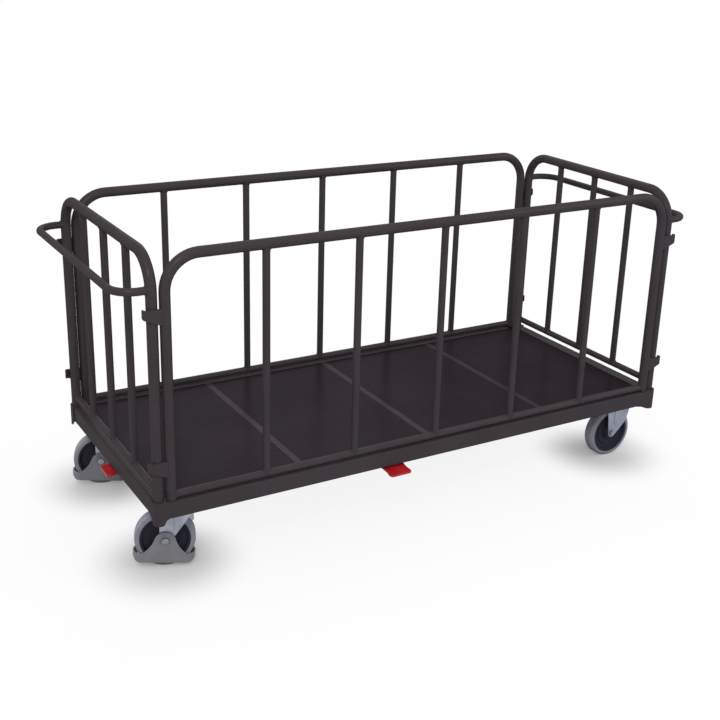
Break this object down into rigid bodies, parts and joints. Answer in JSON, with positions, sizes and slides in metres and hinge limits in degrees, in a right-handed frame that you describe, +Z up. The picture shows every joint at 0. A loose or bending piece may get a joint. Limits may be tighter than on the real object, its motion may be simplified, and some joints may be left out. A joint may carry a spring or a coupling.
{
  "type": "four-sided platform trolley",
  "caption": "Four-sided platform trolley: boarded steel deck, hooped end frames with push handles, lift-off barred sides, swivel and fixed casters and a red pedal brake.",
  "frame": {"origin": "on the floor under the middle of the platform", "axes": "+X along the trolley towards the fixed casters, +Y across it, +Z up"},
  "size_m": [1.837, 0.7908, 0.886],
  "materials": {
    "frame_paint": "satin anthracite powder coat",
    "deck_board": "dark faced board",
    "zinc_steel": "bright zinc plate",
    "bright_steel": "plated steel",
    "hub_black": "moulded black plastic",
    "tyre_grey": "non-marking grey elastic tread",
    "guard_grey": "moulded grey plastic",
    "pedal_red": "red paint"
  },
  "bodies": {
    "chassis": {"front_rail": "frame_paint", "rear_rail": "frame_paint", "left_rail": "frame_paint", "right_rail": "frame_paint", "cross_members": "frame_paint", "corner_pockets": "frame_paint", "deck_board_1": "deck_board", "deck_board_2": "deck_board", "deck_board_3": "deck_board", "deck_board_4": "deck_board", "caster_beds": "frame_paint", "brake_lugs": "frame_paint", "left_end_hoop": "frame_paint", "left_end_rail": "frame_paint", "left_end_bars": "frame_paint", "left_handle": "frame_paint", "right_end_hoop": "frame_paint", "right_end_rail": "frame_paint", "right_end_bars": "frame_paint", "right_handle": "frame_paint", "front_swivel_plate": "zinc_steel", "rear_swivel_plate": "zinc_steel", "front_fixed_bracket": "zinc_steel", "rear_fixed_bracket": "zinc_steel", "fixed_axles": "bright_steel", "caster_bolts": "bright_steel"},
    "front_panel": {"front_panel_hoop": "frame_paint", "front_panel_rail": "frame_paint", "front_panel_bars": "frame_paint", "front_panel_hooks": "frame_paint"},
    "rear_panel": {"rear_panel_hoop": "frame_paint", "rear_panel_rail": "frame_paint", "rear_panel_bars": "frame_paint", "rear_panel_hooks": "frame_paint"},
    "front_swivel": {"front_fork": "zinc_steel", "front_foot_guard": "guard_grey", "front_axle": "bright_steel"},
    "front_plunger": {"front_plunger": "bright_steel"},
    "rear_swivel": {"rear_fork": "zinc_steel", "rear_foot_guard": "guard_grey", "rear_axle": "bright_steel"},
    "rear_plunger": {"rear_plunger": "bright_steel"},
    "front_left_wheel": {"front_left_tyre": "tyre_grey", "front_left_hub": "hub_black", "front_left_bearing": "bright_steel"},
    "front_right_wheel": {"front_right_tyre": "tyre_grey", "front_right_hub": "hub_black", "front_right_bearing": "bright_steel"},
    "rear_left_wheel": {"rear_left_tyre": "tyre_grey", "rear_left_hub": "hub_black", "rear_left_bearing": "bright_steel"},
    "rear_right_wheel": {"rear_right_tyre": "tyre_grey", "rear_right_hub": "hub_black", "rear_right_bearing": "bright_steel"},
    "front_brake": {"front_pedal": "pedal_red", "front_brake_shaft": "bright_steel"},
    "rear_brake": {"rear_pedal": "pedal_red", "rear_brake_shaft": "bright_steel"},
    "left_brake": {"left_pedal": "pedal_red", "left_brake_shaft": "bright_steel"}
  },
  "joints": [
    {"name": "front_panel_lift", "type": "slide", "parent": "chassis", "child": "front_panel", "axis": [0, 0, 1], "range_m": [0, 0.03]},
    {"name": "rear_panel_lift", "type": "slide", "parent": "chassis", "child": "rear_panel", "axis": [0, 0, 1], "range_m": [0, 0.03]},
    {"name": "front_swivel_turn", "type": "hinge", "parent": "chassis", "child": "front_swivel", "pos_m": [-0.712, -0.264, 0.18], "axis": [0, 0, 1], "continuous": true},
    {"name": "front_left_wheel_spin", "type": "hinge", "parent": "front_swivel", "child": "front_left_wheel", "pos_m": [-0.77402, -0.24143, 0.08], "axis": [0.342, 0.9397, 0], "continuous": true},
    {"name": "front_right_wheel_spin", "type": "hinge", "parent": "chassis", "child": "front_right_wheel", "pos_m": [0.738, -0.264, 0.08], "axis": [0, 1, 0], "continuous": true},
    {"name": "rear_swivel_turn", "type": "hinge", "parent": "chassis", "child": "rear_swivel", "pos_m": [-0.712, 0.264, 0.18], "axis": [0, 0, 1], "continuous": true},
    {"name": "rear_left_wheel_spin", "type": "hinge", "parent": "rear_swivel", "child": "rear_left_wheel", "pos_m": [-0.77402, 0.28657, 0.08], "axis": [0.342, 0.9397, 0], "continuous": true},
    {"name": "rear_right_wheel_spin", "type": "hinge", "parent": "chassis", "child": "rear_right_wheel", "pos_m": [0.738, 0.264, 0.08], "axis": [0, 1, 0], "continuous": true},
    {"name": "front_pedal_press", "type": "hinge", "parent": "chassis", "child": "front_brake", "pos_m": [0, -0.23, 0.214], "axis": [1, 0, 0], "range_deg": [0, 9]},
    {"name": "rear_pedal_press", "type": "hinge", "parent": "chassis", "child": "rear_brake", "pos_m": [0, 0.23, 0.214], "axis": [-1, 0, 0], "range_deg": [0, 9]},
    {"name": "left_pedal_press", "type": "hinge", "parent": "chassis", "child": "left_brake", "pos_m": [-0.677, 0, 0.214], "axis": [0, -1, 0], "range_deg": [0, 9]},
    {"name": "front_plunger_press", "type": "slide", "parent": "front_swivel", "child": "front_plunger", "axis": [0, 0, -1], "range_m": [0, 0.00598]},
    {"name": "rear_plunger_press", "type": "slide", "parent": "rear_swivel", "child": "rear_plunger", "axis": [0, 0, -1], "range_m": [0, 0.00598]}
  ],
  "couplings": [
    {"joint": "rear_pedal_press", "follows": "front_pedal_press", "ratio": 1},
    {"joint": "left_pedal_press", "follows": "front_pedal_press", "ratio": 1},
    {"joint": "front_plunger_press", "follows": "front_pedal_press", "m_per_rad": 0.038},
    {"joint": "rear_plunger_press", "follows": "front_pedal_press", "m_per_rad": 0.038}
  ]
}
